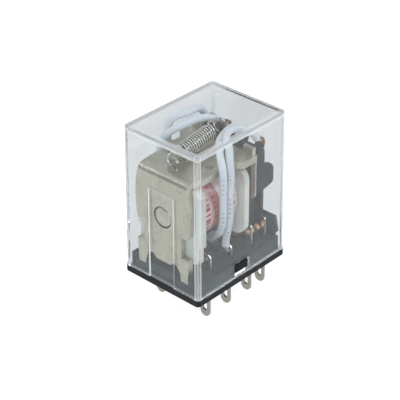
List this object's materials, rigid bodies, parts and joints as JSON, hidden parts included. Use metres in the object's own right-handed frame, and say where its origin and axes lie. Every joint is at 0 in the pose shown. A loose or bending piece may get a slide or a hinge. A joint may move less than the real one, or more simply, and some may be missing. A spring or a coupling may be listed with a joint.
{
  "type": "plug in relay",
  "caption": "Plug in relay with a clear cover over a coil, a hinged armature and changeover contacts, on a dark base with blade terminals.",
  "frame": {"origin": "centre of the base's flat underside, where the blades come out", "axes": "+Z out of the cover's top, away from the blades; +Y along the long side, from the yoke end towards the contact end; +X across the four poles"},
  "size_m": [0.0216, 0.028, 0.0432],
  "materials": {
    "clear_cover": "clear moulded polycarbonate",
    "base_moulding": "dark slate phenolic moulding",
    "terminal_metal": "tinned brass",
    "contact_metal": "polished copper alloy",
    "contact_spring": "rolled copper alloy strip",
    "plated_iron": "satin nickel plate",
    "armature_iron": "satin nickel plate",
    "bobbin_nylon": "natural nylon moulding",
    "winding_copper": "enamelled copper wire",
    "coil_tape": "printed polyester tape",
    "spring_wire": "bright plated steel wire",
    "white_sleeving": "satin PVC sleeving",
    "moving_moulding": "black phenolic moulding"
  },
  "bodies": {
    "relay_body": {"cover": "clear_cover", "base": "base_moulding", "coil_terminal_1": "terminal_metal", "coil_terminal_2": "terminal_metal", "common_terminal_1": "terminal_metal", "common_terminal_2": "terminal_metal", "common_terminal_3": "terminal_metal", "common_terminal_4": "terminal_metal", "no_terminal_1": "terminal_metal", "no_terminal_2": "terminal_metal", "no_terminal_3": "terminal_metal", "no_terminal_4": "terminal_metal", "nc_terminal_1": "terminal_metal", "nc_terminal_2": "terminal_metal", "nc_terminal_3": "terminal_metal", "nc_terminal_4": "terminal_metal", "no_contact_1": "contact_metal", "no_contact_2": "contact_metal", "no_contact_3": "contact_metal", "no_contact_4": "contact_metal", "nc_contact_1": "contact_metal", "nc_contact_2": "contact_metal", "nc_contact_3": "contact_metal", "nc_contact_4": "contact_metal", "yoke": "plated_iron", "core": "plated_iron", "bobbin": "bobbin_nylon", "coil_winding": "winding_copper", "coil_tape": "coil_tape", "coil_lead_1": "winding_copper", "coil_lead_2": "winding_copper", "return_spring": "spring_wire", "lead_1": "white_sleeving", "lead_2": "white_sleeving", "lead_3": "white_sleeving", "lead_4": "white_sleeving"},
    "armature_assembly": {"armature": "armature_iron", "moving_block": "moving_moulding", "moving_spring_1": "contact_spring", "moving_spring_2": "contact_spring", "moving_spring_3": "contact_spring", "moving_spring_4": "contact_spring", "moving_contact_1": "contact_metal", "moving_contact_2": "contact_metal", "moving_contact_3": "contact_metal", "moving_contact_4": "contact_metal"}
  },
  "joints": [
    {"name": "armature_hinge", "type": "hinge", "parent": "relay_body", "child": "armature_assembly", "pos_m": [0, 0.00615, 0.0263], "axis": [-1, 0, 0], "range_deg": [0, 2.55], "stiffness_Nm_per_rad": 0.02, "springref_deg": -5.73, "deforming": ["return_spring", "lead_1", "lead_2", "lead_3", "lead_4"]}
  ]
}
